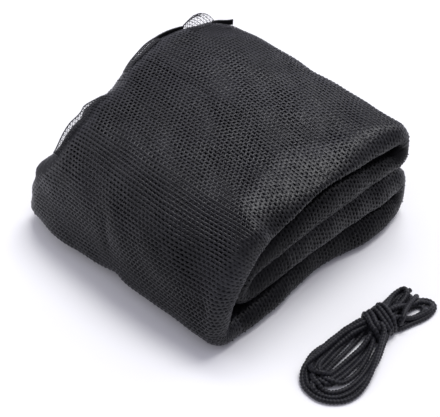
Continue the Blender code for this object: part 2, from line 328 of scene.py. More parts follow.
def braided_tube(name, line, radius, material, around=12, chevrons=2, relief=0.00050):
    """A round cord with the chevron ridges of its braid, narrowed at both ends to a rounded tip."""
    side, rise = frames_along(line)
    reach = np.r_[0.0, np.cumsum(np.linalg.norm(np.diff(line, axis=0), axis=1))]
    angle = 2.0 * math.pi * np.arange(around) / around
    vee = np.abs(chevrons * angle / math.pi % 2.0 - 1.0)
    crossing = 0.5 + 0.5 * np.cos(2.0 * math.pi * (reach[:, None] / BRAID_PERIOD + 0.32 * vee[None, :]))
    size = radius + relief * (crossing - 0.5)
    tip = np.minimum(reach, reach[-1] - reach)[:, None] / radius
    size = size * np.sqrt(np.clip(1.0 - (1.0 - np.minimum(tip + 0.05, 1.0)) ** 2, 0.0, 1.0))
    ring = side[:, None, :] * np.cos(angle)[None, :, None] + rise[:, None, :] * np.sin(angle)[None, :, None]
    points = line[:, None, :] + ring * size[:, :, None]
    points[:, :, 2] = np.maximum(points[:, :, 2], 0.0)
    faces = tube_faces(1, len(line), around)
    # The cord's colour is darker in the braid's grooves, as painted shade, and lighter on its ridges, as
    # painted highlight.
    return mesh_piece(name, points, faces, material, painted_shading=BRAID_GROOVE_SHADE + BRAID_RIDGE_HIGHLIGHT * crossing)


def add_cord(material):
    """The hank of lacing cord, from one free end to the other."""
    settled = settle_cord()
    line = np.column_stack([HANK_WAIST[0] - settled[:, 1], HANK_WAIST[1] + settled[:, 0], settled[:, 2]])
    line = smooth_line(line, TUBE_STEP)
    hank = braided_tube("lacing_cord_hank", line, CORD_DIAMETER / 2.0, material)
    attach(hank, "root")
    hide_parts("lacing_cord")


# ---- Materials ----


def shader_of(name, colour, roughness):
    """A new material and its shader, with the plain values set on the shader's own sockets."""
    material = bpy.data.materials.new(name)
    material.use_nodes = True
    shader = material.node_tree.nodes["Principled BSDF"]
    shader.inputs["Base Color"].default_value = (*colour, 1.0)
    shader.inputs["Roughness"].default_value = roughness
    return material, shader


def noise(nodes, scale, detail):
    """A noise texture."""
    texture = nodes.new("ShaderNodeTexNoise")
    texture.inputs["Scale"].default_value = scale
    texture.inputs["Detail"].default_value = detail
    return texture


def halving(nodes, operation):
    """A node that takes half of its first input, and adds its third where the operation says so."""
    node = nodes.new("ShaderNodeMath")
    node.operation = operation
    node.inputs[1].default_value = 0.5
    return node


def fibre_material(name, dark, light, roughness, gloss, sheen, fibre_scale, patch_scale, bump):
    """Dull synthetic yarn: uneven colour in patches, and fine fibres as colour, roughness and bump."""
    material, shader = shader_of(name, dark, roughness)
    nodes, links = material.node_tree.nodes, material.node_tree.links
    shader.inputs["Specular IOR Level"].default_value = gloss
    shader.inputs["Sheen Weight"].default_value = sheen
    shader.inputs["Sheen Roughness"].default_value = 0.45
    shader.inputs["Sheen Tint"].default_value = (0.86, 0.87, 1.0, 1.0)
    place = nodes.new("ShaderNodeTexCoord")
    patches, fibres = noise(nodes, patch_scale, 3.0), noise(nodes, fibre_scale, 2.0)
    for texture in (patches, fibres):
        links.new(place.outputs["Object"], texture.inputs["Vector"])
    both, half = halving(nodes, "MULTIPLY_ADD"), halving(nodes, "MULTIPLY")
    links.new(patches.outputs["Fac"], both.inputs[0])
    links.new(fibres.outputs["Fac"], half.inputs[0])
    links.new(half.outputs[0], both.inputs[2])
    shades = nodes.new("ShaderNodeValToRGB")
    shades.color_ramp.elements[0].position = 0.36
    shades.color_ramp.elements[0].color = (*dark, 1.0)
    shades.color_ramp.elements[1].position = 0.64
    shades.color_ramp.elements[1].color = (*light, 1.0)
    links.new(both.outputs[0], shades.inputs["Fac"])
    # The colour is multiplied by a point attribute that holds painted light and painted shade.
    painted_shading = nodes.new("ShaderNodeAttribute")
    painted_shading.attribute_name = "painted_shading"
    toned = nodes.new("ShaderNodeVectorMath")
    toned.operation = "SCALE"
    links.new(shades.outputs["Color"], toned.inputs[0])
    links.new(painted_shading.outputs["Fac"], toned.inputs["Scale"])
    links.new(toned.outputs["Vector"], shader.inputs["Base Color"])
    relief = nodes.new("ShaderNodeBump")
    relief.inputs["Strength"].default_value = bump
    relief.inputs["Distance"].default_value = 0.0002
    links.new(fibres.outputs["Fac"], relief.inputs["Height"])
    links.new(relief.outputs["Normal"], shader.inputs["Normal"])
    return material


# ---- Folded net ----

# The folds start from the CAD model's. Nine rows then have other sizes, so that the outline is closer to the
# real net's: top_middle to front_foot, and low_front to high_back. Each row is a corner of the ring of cloth
# seen along X, or a point on a straight run where its radius is 0: depth is Y, height is Z, thickness is the
# packet's own. fold_tip, fold_nose and fold_droop shape the fold edge at +X, and edge_tip and edge_nose shape
# the cut edge at -X.
Fold = namedtuple(
    "Fold", "name depth height radius thickness fold_tip fold_nose fold_droop edge_tip edge_nose"
)
FOLDS = (
    Fold("top_back", 0.1250, 0.1030, 0.0162, 0.0200, 0.133, 0.014, 0.004, -0.130, 0.016),
    Fold("top_rear", 0.070, 0.1030, 0.0, 0.0270, 0.128, 0.026, 0.007, -0.136, 0.018),
    Fold("top_middle", 0.010, 0.1030, 0.0, 0.0280, 0.127, 0.051, 0.007, -0.131, 0.022),
    Fold("top_fore", -0.050, 0.1030, 0.0, 0.0280, 0.130, 0.042, 0.007, -0.115, 0.024),
    Fold("front_top", -0.1270, 0.1030, 0.0500, 0.0270, 0.133, 0.014, 0.002, -0.100, 0.022),
    Fold("front_middle", -0.1290, 0.0330, 0.0, 0.0260, 0.133, 0.012, 0.0, -0.124, 0.018),
    Fold("front_foot", -0.1290, 0.0110, 0.0140, 0.0220, 0.132, 0.012, 0.0, -0.127, 0.014),
    Fold("under_fore", -0.060, 0.0115, 0.0, 0.0230, 0.132, 0.013, 0.0, -0.136, 0.014),
    Fold("under_middle", 0.020, 0.0125, 0.0, 0.0250, 0.127, 0.013, 0.0, -0.138, 0.014),
    Fold("under_back", 0.1270, 0.0120, 0.0150, 0.0230, 0.136, 0.014, 0.0, -0.137, 0.014),
    Fold("low_back", 0.1270, 0.0420, 0.0150, 0.0250, 0.135, 0.018, 0.004, -0.137, 0.015),
    Fold("low_middle", 0.020, 0.0420, 0.0, 0.0270, 0.132, 0.018, 0.006, -0.138, 0.015),
    Fold("low_front", -0.101, 0.0380, 0.0135, 0.0240, 0.127, 0.014, 0.003, -0.136, 0.015),
    Fold("high_front", -0.101, 0.0660, 0.0135, 0.0260, 0.128, 0.014, 0.000, -0.120, 0.015),
    Fold("high_middle", 0.020, 0.0712, 0.0, 0.0300, 0.134, 0.015, -0.001, -0.135, 0.015),
    Fold("high_back", 0.1250, 0.0690, 0.0170, 0.0180, 0.131, 0.014, 0.000, -0.136, 0.015),
)
FLOOR_REACH = 0.0015  # cloth this near the floor lies flat on it
CENTRING = (0.0035, 0.0015)

# How the bundle has slumped: soft swells of its whole height, each a share of it, centred at (x, y).
Swell = namedtuple("Swell", "share x y reach_x reach_y")
SWELLS = (
    Swell(0.075, -0.010, 0.020, 0.110, 0.110),
    Swell(0.030, -0.060, 0.080, 0.050, 0.040),
    Swell(-0.028, 0.095, 0.030, 0.035, 0.060),
    Swell(-0.030, 0.000, 0.130, 0.060, 0.030),
    Swell(-0.058, -0.125, 0.125, 0.040, 0.045),
    Swell(-0.028, -0.130, 0.048, 0.035, 0.035),
    Swell(-0.170, -0.140, -0.150, 0.040, 0.045),
    Swell(-0.080, -0.140, -0.060, 0.035, 0.060),
)

# Where the cloth bulges or sags sideways: it moves by move, most at the point, and less within reach of it.
Push = namedtuple("Push", "name move point reach")
PUSHES = (
    Push("stack_lift", (0.0, 0.0, 0.0120), (0.130, 0.020, 0.072), (0.042, 0.085, 0.036)),
    Push("low_lift", (0.0, 0.0, 0.0045), (0.130, 0.030, 0.028), (0.030, 0.090, 0.014)),
    Push("nose_under", (0.0, 0.0, 0.0045), (0.128, 0.000, 0.092), (0.030, 0.060, 0.016)),
    Push("front_round", (0.0, 0.0150, -0.0070), (0.130, -0.120, 0.090), (0.050, 0.055, 0.042)),
    Push("back_edge", (-0.0085, 0.0, 0.0010), (-0.138, 0.040, 0.108), (0.030, 0.030, 0.030)),
    Push("foot_right", (0.0095, 0.0, 0.0), (0.134, 0.062, 0.004), (0.040, 0.042, 0.020)),
    Push("foot_near", (0.0035, -0.0010, 0.0), (0.136, -0.080, 0.004), (0.040, 0.050, 0.020)),
    Push("foot", (0.0, -0.0060, 0.0), (0.000, -0.140, 0.008), (0.130, 0.050, 0.020)),
    Push("foot_left", (0.0, -0.0075, 0.0), (-0.070, -0.140, 0.012), (0.040, 0.050, 0.030)),
    Push("left_shoulder", (-0.0090, -0.0010, 0.0), (-0.114, -0.134, 0.061), (0.030, 0.030, 0.018)),
    Push("left_neck", (-0.0120, -0.0020, 0.0), (-0.106, -0.132, 0.067), (0.030, 0.022, 0.017)),
    Push("left_middle", (-0.0035, 0.0, 0.0), (-0.098, -0.088, 0.100), (0.030, 0.026, 0.020)),
    Push("back_top", (-0.0030, -0.0030, 0.0), (0.120, 0.140, 0.100), (0.050, 0.040, 0.025)),
    Push("back_foot", (-0.0060, -0.0035, 0.0), (0.130, 0.140, 0.020), (0.050, 0.030, 0.025)),
    Push("back_notch", (0.0030, 0.0045, 0.0), (0.120, 0.140, 0.064), (0.060, 0.040, 0.010)),
)

# Creases, listed one by one: each runs from one point to another, depth is into the cloth and width its
# reach.
Crease = namedtuple("Crease", "name start end depth width")
CREASES = (
    Crease("front_left", (-0.008, -0.139, 0.078), (0.000, -0.139, 0.040), 0.0015, 0.0050),
    Crease("front_left_ridge", (-0.018, -0.139, 0.080), (-0.010, -0.139, 0.035), -0.0008, 0.0070),
    Crease("front_right", (0.111, -0.138, 0.095), (0.119, -0.138, 0.050), 0.0024, 0.0055),
    Crease("front_right_ridge", (0.103, -0.138, 0.095), (0.110, -0.138, 0.050), -0.0012, 0.0070),
    Crease("foot_notch", (-0.004, -0.142, 0.004), (0.010, -0.142, 0.016), 0.0030, 0.0070),
    Crease("margin_front", (-0.062, -0.132, 0.095), (-0.082, -0.104, 0.108), 0.0016, 0.0075),
    Crease("margin_rear", (-0.082, -0.104, 0.108), (-0.094, -0.055, 0.116), 0.0018, 0.0080),
    Crease("margin_foot", (-0.066, -0.140, 0.088), (-0.100, -0.142, 0.045), 0.0012, 0.0090),
    Crease("crest_sag", (0.060, -0.020, 0.122), (0.085, 0.060, 0.122), 0.0016, 0.0240),
)

NOSE_POWER = 0.8  # under 1 makes the fold edges squarer than round
SECTION_STEP = 0.0022  # spacing of the sections of the sheet round the ring
SHEET_STEP = 0.0018  # and of its points across the ring
FACE_COLUMNS, NOSE_COLUMNS = 64, 32  # points across each flat face, and round each edge
SHEET_REACH = 0.205  # the sheet runs this far from the middle of the outer face, past both edges
SLIT_ROWS = slice(130, 155)  # where the skin of inner layers is open, hidden between the packets
BASE_DEPTH = 0.0020  # the inner layers, drawn dark as painted shade, lie this far under the outer face


def eased(share):
    """A smooth step from 0 to 1."""
    share = np.clip(share, 0.0, 1.0)
    return share * share * (3.0 - 2.0 * share)


def ring_points():
    """The ring's middle line, close together: rows of depth, height and place, which counts the folds."""
    corners = [Vector((fold.depth, fold.height)) for fold in FOLDS]
    count = len(FOLDS)
    turns, cuts = [], []
    for i, fold in enumerate(FOLDS):
        arrive = (corners[i] - corners[i - 1]).normalized()
        leave = (corners[(i + 1) % count] - corners[i]).normalized()
        turn = math.atan2(arrive.cross(leave), arrive.dot(leave))
        turns.append((arrive, turn))
        cuts.append(fold.radius * abs(math.tan(turn / 2.0)))
    rows = []
    for i, fold in enumerate(FOLDS):
        after = (i + 1) % count
        arrive, turn = turns[i]
        if fold.radius > 0.0:
            side = math.copysign(1.0, turn)
            normal = Vector((-arrive.y, arrive.x)) * side
            centre = corners[i] - arrive * cuts[i] + normal * fold.radius
            for share in np.linspace(0.0, 1.0, 24):
                angle = turn * share
                out = Vector((
                    -normal.x * math.cos(angle) + normal.y * math.sin(angle),
                    -normal.y * math.cos(angle) - normal.x * math.sin(angle),
                ))
                point = centre + out * fold.radius
                rows.append((point.x, point.y, i + 0.1 * (share - 0.5)))
        run = corners[after] - corners[i]
        for reach in np.arange(cuts[i] + 0.001, run.length - cuts[after] - 0.0005, 0.002):
            point = corners[i] + run * (reach / run.length)
            rows.append((point.x, point.y, i + reach / run.length))
    return np.array(rows)


def even_ring():
    """The ring's middle line in equal steps: depth, height, outward direction and place of each section."""
    rows = ring_points()
    closed = np.vstack([rows, rows[:1] + (0.0, 0.0, len(FOLDS))])
    reach = np.r_[0.0, np.cumsum(np.hypot(*np.diff(closed[:, :2], axis=0).T))]
    places = np.arange(0.0, reach[-1], SECTION_STEP)
    ring = np.column_stack([np.interp(places, reach, closed[:, i]) for i in range(3)])
    along = np.roll(ring[:, :2], -2, axis=0) - np.roll(ring[:, :2], 2, axis=0)
    along /= np.linalg.norm(along, axis=1, keepdims=True)
    return ring[:, :2], np.column_stack([along[:, 1], -along[:, 0]]), ring[:, 2]


def cloth_sizes(place):
    """The cloth's sizes at each place on the ring, eased between two folds and then evened out."""
    table = np.array([fold[4:] for fold in FOLDS])
    i = np.floor(place).astype(int)
    share = eased(place - i)[:, None]
    sizes = table[i % len(FOLDS)] * (1.0 - share) + table[(i + 1) % len(FOLDS)] * share
    for _ in range(8):
        sizes = (np.roll(sizes, 1, axis=0) + 2.0 * sizes + np.roll(sizes, -1, axis=0)) / 4.0
    return sizes


def section_columns(sizes):
    """Across each section, from the middle of the inner face round the cut edge, the outer face and the fold
    edge and back: arrays of x, share of half the thickness, and droop."""
    _, tip, nose, droop, edge_tip, edge_nose = (sizes[:, i:i + 1] for i in range(6))
    root, edge_root = tip - nose, edge_tip + edge_nose
    flat = np.linspace(0.0, 1.0, FACE_COLUMNS)[None, :]
    half_turn = np.linspace(-math.pi / 2.0, math.pi / 2.0, NOSE_COLUMNS + 2)[None, 1:-1]
    level = np.zeros_like(root)
    x = np.hstack([
        edge_root * flat,
        edge_root - edge_nose * np.cos(half_turn),
        edge_root + (root - edge_root) * flat,
        root + nose * np.cos(half_turn) ** NOSE_POWER,
        root * (1.0 - flat),
    ])
    turn = np.sin(half_turn) + level
    inner, outer = level - 1.0 + 0.0 * flat, level + 1.0 + 0.0 * flat
    share = np.hstack([inner, turn, outer, -turn, inner])
    still = level + 0.0 * flat
    dip = droop * np.cos(half_turn) ** 2
    return x, share, np.hstack([still, 0.0 * turn, still, dip, still])


def slumped(points):
    """Where points of the plain bundle lie once the cloth has slumped. The floor stays flat."""
    x, y, z = points[..., 0], points[..., 1], points[..., 2]
    rise = sum(
        swell.share * np.exp(-(((x - swell.x) / swell.reach_x) ** 2) - ((y - swell.y) / swell.reach_y) ** 2)
        for swell in SWELLS
    )
    z = z * (1.0 + rise)
    points = np.stack([x + CENTRING[0], y + CENTRING[1], np.where(z > FLOOR_REACH, z, 0.0)], axis=-1)
    moved = np.zeros_like(points)
    for push in PUSHES:
        moved += nearness(points, push)[..., None] * np.array(push.move)
    return points + moved


def grid_normals(grid, closed):
    """Outward directions of a grid of points whose rows follow the ring and whose columns cross it."""
    down = np.roll(grid, -1, axis=0) - np.roll(grid, 1, axis=0)
    if closed:
        over = np.roll(grid, -1, axis=1) - np.roll(grid, 1, axis=1)
    else:
        over = np.gradient(grid, axis=1)
    normals = np.cross(down, over)
    return normals / np.maximum(np.linalg.norm(normals, axis=2, keepdims=True), 1e-12)


def creased(grid, normals):
    """The grid with its listed creases and a slight waviness of the cloth."""
    into = np.zeros(grid.shape[:2])
    for crease in CREASES:
        start, run = np.array(crease.start), np.array(crease.end) - np.array(crease.start)
        share = np.clip((grid - start) @ run / (run @ run), 0.0, 1.0)
        apart = np.linalg.norm(grid - start - share[..., None] * run, axis=2)
        fade = 0.35 + 0.65 * np.sin(math.pi * np.clip(share, 0.08, 0.92))
        into += crease.depth * fade * np.exp(-((apart / crease.width) ** 2))
    x, y, z = grid[..., 0], grid[..., 1], grid[..., 2]
    into += 0.00050 * np.sin(61.0 * y + 17.0 * x) * np.sin(88.0 * x - 29.0 * y + 40.0 * z)
    into += 0.00035 * np.sin(171.0 * y - 60.0 * z + 1.3) * np.sin(139.0 * x + 90.0 * z + 0.6)
    into *= np.clip(z / 0.008, 0.0, 1.0)
    return grid - normals * into[..., None]


class Sheet:
    """The outer face of the net, unrolled: s runs round the ring and a across it, both along the cloth."""

    def __init__(self):
        middle, out, place = even_ring()
        sizes = cloth_sizes(place)
        x, share, dip = section_columns(sizes)
        reach = share * sizes[:, :1] / 2.0 - dip
        plain = np.stack([
            x, middle[:, :1] + out[:, :1] * reach, middle[:, 1:] + out[:, 1:] * reach
        ], axis=-1)
        loops = slumped(plain)
        self.loops = creased(loops, grid_normals(loops, closed=False))
        self.middle, self.out, self.place, self.sizes = middle, out, place, sizes
        self.unroll(x)

    def unroll(self, x):
        """Measures the cloth along both directions and lays an even grid on it."""
        steps = np.linalg.norm(np.diff(self.loops, axis=1), axis=2)
        across = np.hstack([np.zeros((len(steps), 1)), np.cumsum(steps, axis=1)])
        first = FACE_COLUMNS + NOSE_COLUMNS
        face = slice(first, first + FACE_COLUMNS)
        zero = np.array([np.interp(0.0, x[i, face], across[i, face]) for i in range(len(x))])
        across -= zero[:, None]
        self.edge_root, self.fold_root = across[:, face.start], across[:, face.stop - 1]
        self.edge_end, self.fold_end = across[:, FACE_COLUMNS], across[:, -FACE_COLUMNS]
        self.grid_a = np.arange(-SHEET_REACH, SHEET_REACH, SHEET_STEP)
        self.grid = np.stack([
            np.column_stack([np.interp(self.grid_a, across[i], self.loops[i, :, k]) for k in range(3)])
            for i in range(len(x))
        ])
        self.normals = grid_normals(self.grid, closed=False)
        outer = np.array([self.grid[i, len(self.grid_a) // 2] for i in range(len(x))])
        steps = np.linalg.norm(np.roll(outer, -1, axis=0) - outer, axis=1)
        self.s = np.r_[0.0, np.cumsum(np.maximum(steps, SECTION_STEP))]

    def row_of(self, s):
        """The row of the grid at s, with its fraction."""
        return np.interp(s, self.s, np.arange(len(self.s)))

    def at(self, s, a, lift):
        """Points of the cloth at s and a, lifted off it."""
        row = self.row_of(s)
        column = np.clip((a - self.grid_a[0]) / SHEET_STEP, 0.0, len(self.grid_a) - 1.001)
        i, j = np.floor(row).astype(int), np.floor(column).astype(int)
        p, q = (row - i)[..., None], (column - j)[..., None]
        i, after = i % len(self.grid), (i + 1) % len(self.grid)
        points, normals = (
            (values[i, j] * (1.0 - q) + values[i, j + 1] * q) * (1.0 - p)
            + (values[after, j] * (1.0 - q) + values[after, j + 1] * q) * p
            for values in (self.grid, self.normals)
        )
        normals /= np.linalg.norm(normals, axis=-1, keepdims=True)
        points = points + normals * np.asarray(lift)[..., None]
        points[..., 2] = np.maximum(points[..., 2], 0.0)
        return points


# Patches of painted light and painted shade, which make the yarn's colour lighter or darker. They were fitted
# to the light and shade on the real net in one view, so that light and shade is painted into the colour.
# value multiplies the colour at the point, and 1 is plain yarn.
ShadingPatch = namedtuple("ShadingPatch", "name point reach value")
PAINTED_SHADING_PATCHES = (
    ShadingPatch("front_right", (0.070, -0.140, 0.050), (0.060, 0.040, 0.040), 0.55),
    ShadingPatch("near_corner", (0.130, -0.118, 0.080), (0.026, 0.040, 0.030), 2.20),
    ShadingPatch("front_left", (-0.090, -0.140, 0.050), (0.050, 0.040, 0.050), 1.60),
    ShadingPatch("crest_flank", (0.124, 0.000, 0.104), (0.014, 0.100, 0.018), 0.20),
    ShadingPatch("top", (-0.010, 0.020, 0.120), (0.080, 0.080, 0.040), 1.40),
    ShadingPatch("fold_side", (0.128, 0.030, 0.055), (0.028, 0.120, 0.055), 0.25),
    ShadingPatch("top_back", (0.020, 0.090, 0.120), (0.120, 0.060, 0.030), 1.35),
    ShadingPatch("top_right", (0.100, 0.050, 0.120), (0.050, 0.080, 0.020), 1.15),
)


def painted_shading_at(points):
    """What the yarn's colour is multiplied by at these points: painted light and painted shade."""
    painted_shading = np.ones(points.shape[:-1])
    for patch in PAINTED_SHADING_PATCHES:
        painted_shading *= 1.0 + (patch.value - 1.0) * nearness(points, patch)
    return painted_shading


def surface_piece(name, points, faces, material, node):
    """A piece that replaces a CAD node and rides on the one body."""
    points = np.asarray(points).reshape(-1, 3)
    # Its yarn's colour is multiplied by the painted light and painted shade of the patches.
    piece = mesh_piece(name, points, faces, material, painted_shading=painted_shading_at(points))
    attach(piece, "root")
    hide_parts(node)
    return piece


def add_inner_layers(sheet, material):
    """The layers under the outer face, as one closed skin on the bundle's folds, drawn dark as painted shade.
    """
    loops = sheet.loops[::2, ::3]
    normals = grid_normals(loops, closed=True)
    points = loops - normals * BASE_DEPTH
    points[..., 2] = np.maximum(points[..., 2], 0.0)
    rows, columns = points.shape[:2]
    index = np.arange(rows * columns).reshape(rows, columns)
    over, down = np.roll(index, -1, axis=1), np.roll(index, -1, axis=0)
    faces = np.stack([index, over, np.roll(down, -1, axis=1), down], axis=-1)
    whole = np.ones(faces.shape[:2], bool)
    whole[SLIT_ROWS, 0] = False
    faces = faces[whole]
    return surface_piece("net_inner_layers", points, faces, material, "folded_netting")


# ---- Knitted mesh ----

# The knitting: rows of chain stitches run along X, with holes between them, offset in every other row.
ROW_PITCH = 0.00387
HOLE_PITCH = 0.0048
BAR_WIDTH = 0.0017
BAR_RELIEF = 0.00042
BAR_BEAT = 0.45  # how much a bar's height changes over each stitch
BRIDGE_WIDTH = 0.0011
NOSE_START = -0.004  # from this far beyond the faces' straight part
NOSE_EASE = 0.010

# Patches of the net that are drawn askew, so that the holes line up straight across the rows.
Slant = namedtuple("Slant", "s a reach_s reach_a")
SLANTED = (
    Slant(0.055, -0.085, 0.050, 0.050),
    Slant(0.075, 0.000, 0.040, 0.060),
)
EDGE_MARGIN = 0.013  # the knitting runs this far past both edges, and back from them inside the folds

# Where the knitting is whole: (from, to) in places on the ring. Between them only the edges show.
WHOLE = ((-1.45, 6.35), (8.85, 10.35))
Part = namedtuple("Part", "name start end")
PARTS = (
    Part("net_top", -0.80, 2.60),
    Part("net_shoulder", 2.60, 4.30),
    Part("net_front", 4.30, 6.35),
    Part("net_underside", 6.35, 8.85),
    Part("net_back", 8.85, 11.50),
    Part("net_inner_fold", 11.50, 15.20),
)
SHADED = ("net_underside", "net_inner_fold")  # these face down or inwards; their darker yarn is painted shade
SECOND_PARTS = (
    Part("net_second_layer_top", -0.80, 2.60),
    Part("net_second_layer_front", 2.60, 6.35),
    Part("net_second_layer_edges", 6.35, 15.20),
)


def in_whole(place):
    """Whether the knitting is whole at these places on the ring."""
    inside = np.zeros(place.shape, bool)
    for start, end in WHOLE:
        inside |= (place > start) & (place < end)
        inside |= (place > start + len(FOLDS)) & (place < end + len(FOLDS))
    return inside


def drawn(sheet, s, a):
    """Whether the knitting is laid here: all over where it is whole, and elsewhere round the edges."""
    row = sheet.row_of(s)
    i = np.floor(row).astype(int) % len(sheet.place)
    inside_span = (a > sheet.edge_end[i] - EDGE_MARGIN) & (a < sheet.fold_end[i] + EDGE_MARGIN)
    near_edge = (a < sheet.edge_root[i] + EDGE_MARGIN) | (a > sheet.fold_root[i] - EDGE_MARGIN)
    return inside_span & (in_whole(sheet.place[i]) | near_edge)


def unevenness(s, a, seed):
    """Smooth waves between -1 and 1 that make the knitting uneven."""
    return (
        np.sin(97.0 * s + 61.0 * a + seed) * np.sin(71.0 * a - 53.0 * s + 2.0 * seed)
        + 0.6 * np.sin(233.0 * s - 181.0 * a + 3.0 * seed)
    ) / 1.6


class Knit:
    """One layer of knitting on the sheet. depth is how far under the outer face it lies."""

    def __init__(self, sheet, row_pitch, hole_pitch, depth, drift, seed, stations, across):
        self.sheet, self.depth, self.drift, self.seed = sheet, depth, drift, seed
        self.stations, self.across = stations, np.array(across)
        self.rows = round(sheet.s[-1] / row_pitch)
        self.row_pitch = sheet.s[-1] / self.rows
        self.hole_pitch = hole_pitch
        self.reach = math.ceil(SHEET_REACH / hole_pitch) - 1
        self.rng = np.random.default_rng(seed)
        self.row_shift = self.rng.normal(0.0, 0.00012, self.rows)
        self.row_phase = self.rng.normal(0.0, 0.05, self.rows)

    def nose(self, s, a):
        """1 on the fold edges and the cut edges, and 0 on the faces."""
        i = np.floor(self.sheet.row_of(np.mod(s, self.sheet.s[-1]))).astype(int) % len(self.sheet.place)
        beyond = np.maximum(a - self.sheet.fold_root[i], self.sheet.edge_root[i] - a)
        return eased((beyond - NOSE_START) / NOSE_EASE)

    def slanted(self, s, a):
        """1 where the holes line up straight across the rows, and 0 where every other row is offset."""
        total = 0.0
        for patch in SLANTED:
            s_apart, a_apart = (s - patch.s) / patch.reach_s, (a - patch.a) / patch.reach_a
            total = total + np.exp(-(s_apart**2) - a_apart**2)
        return np.minimum(total, 1.0)

    def lay(self, s, a, lift):
        """Points of this layer, which drifts along the sheet in slow waves. s is taken round the ring."""
        total = self.sheet.s[-1]
        s_drift = self.drift * unevenness(0.55 * s, 0.55 * a, self.seed)
        a_drift = self.drift * unevenness(0.45 * s, 0.50 * a, self.seed + 2.0)
        return self.sheet.at(np.mod(s + s_drift, total), a + a_drift, lift - self.depth)

    def bars(self, rows):
        """The rows of chain stitches."""
        count = 2 * self.reach * self.stations + 1
        stitch = np.arange(count) / self.stations
        a = (stitch - self.reach) * self.hole_pitch
        across = self.across
        centre = rows * self.row_pitch + self.row_shift[rows]
        s = centre[:, None, None] + np.zeros((1, count, 1))
        a = a[None, :, None] + np.zeros((len(rows), 1, 1))
        turn = 2.0 * math.pi * (stitch[None, :, None] + 0.5 * (rows[:, None, None] % 2))
        swing = np.cos(turn)
        wave = unevenness(s, a, self.seed + 5.0)
        jitter = self.rng.normal(0.0, 1.0, (2, len(rows), count, 1))
        nose, slanted = self.nose(s, a), self.slanted(s, a)
        width = BAR_WIDTH * (
            1.0 + 0.14 * swing + 0.14 * wave + 0.10 * jitter[0] + 0.35 * nose + 0.10 * nose * jitter[1]
        )
        beat = 1.3 * np.cos(turn + 0.9) + 0.5 * np.cos(2.0 * turn + 1.2)
        relief = BAR_RELIEF * (1.0 + BAR_BEAT * beat + 0.2 * wave + 0.25 * jitter[1])
        relief = relief * (1.0 - 0.45 * nose) * (1.0 + 0.5 * nose * jitter[1]) * (1.0 - 0.45 * slanted)
        sway = 0.00022 * np.sin(2.0 * math.pi * stitch)[None, :, None]
        s = s + sway + width / 2.0 * across
        lift = relief * (1.0 - np.abs(across)) * 1.6
        a = a + np.zeros_like(s)
        points = self.lay(s, a, lift)
        row_s = np.mod(centre, self.sheet.s[-1])[:, None] + np.zeros((1, count))
        keep = drawn(self.sheet, row_s, a[:, :, 0])
        return ribbon_mesh(points, keep)

    def bridges(self, rows):
        """The short slanting stitches between one row and the next."""
        columns = np.arange(-self.reach, self.reach)
        centre = ((rows + 0.5) * self.row_pitch)[:, None] + np.zeros((1, len(columns)))
        shift = 0.5 - 0.5 * self.slanted(centre, columns[None, :] * self.hole_pitch)
        a = (columns[None, :] + shift * (rows[:, None] % 2) + self.row_phase[rows][:, None]) * self.hole_pitch
        a = a + 0.00018 * self.rng.standard_normal(a.shape)
        keep = drawn(self.sheet, np.mod(centre, self.sheet.s[-1]), a)
        centre, a = centre[keep], a[keep]
        wave = unevenness(centre, a, self.seed + 9.0)
        nose, slanted = self.nose(centre, a), self.slanted(centre, a)
        width = BRIDGE_WIDTH * (1.0 + 0.25 * wave + 0.15 * self.rng.standard_normal(a.shape))
        width = width * (1.0 + 0.7 * nose + 0.5 * slanted)
        turn = np.where(np.round(centre / self.row_pitch - 0.5).astype(int) % 2 == 0, 1.0, -1.0)
        slant = 0.0006 * turn * (1.0 - slanted)
        along = np.array((-0.5, 0.0, 0.5))
        across = np.array((-1.0, 0.0, 1.0))
        half = self.row_pitch / 2.0 - BAR_WIDTH / 2.0 + 0.0004
        s = centre[:, None, None] + 2.0 * half * along[None, :, None] + 0.0 * across
        a = a[:, None, None] + 2.0 * slant[:, None, None] * along[None, :, None]
        a = a + width[:, None, None] / 2.0 * across * (1.0 + 0.5 * np.abs(2.0 * along))[None, :, None]
        height = (0.00030 + 0.00045 * slanted[:, None, None]) * (1.0 - np.abs(across))[None, None, :]
        lift = height - 0.00010 + 0.0 * s
        return ribbon_mesh(self.lay(s, a, lift))

    def mesh(self, start, end):
        """Points and quads of the rows whose place on the ring lies between start and end."""
        places = np.interp(
            (np.arange(self.rows) + 0.25) * self.row_pitch, self.sheet.s, np.r_[self.sheet.place, len(FOLDS)]
        )
        turn = len(FOLDS)
        here = (places >= start) & (places < end)
        here |= (places - turn >= start) & (places - turn < end)
        rows = np.nonzero(here)[0]
        return joined((self.bars(rows), self.bridges(rows)))


def add_knitting(sheet, material, shaded_material, inner_material):
    """The outer layer of knitting, in parts, and the layer under it."""
    outer = Knit(sheet, ROW_PITCH, HOLE_PITCH, 0.0, 0.0005, 3, 4, (-1.0, -0.38, 0.38, 1.0))
    inner = Knit(sheet, ROW_PITCH * 1.02, HOLE_PITCH * 0.985, 0.0010, 0.0012, 8, 3, (-1.0, 0.0, 1.0))
    pieces = []
    for part in PARTS:
        points, faces = outer.mesh(part.start, part.end)
        yarn = shaded_material if part.name in SHADED else material
        pieces.append(surface_piece(part.name, points, faces, yarn, "folded_netting"))
    # The layer under the outer one gets the last yarn passed in, a darker copy drawn as painted shade.
    for name, start, end in SECOND_PARTS:
        points, faces = inner.mesh(start, end)
        pieces.append(surface_piece(name, points, faces, inner_material, "folded_netting"))
    return pieces


# ---- Loose layers and webbing on the cut edge ----

# Places on the cut edge are given by depth, which is the Y of the packet's outside, by along, which is 0 on
# the upper face, 1 at the tip and 2 on the under face, and by how far they stand off.
UPPER_END = 4.5
LAYER_GAP = 0.0006


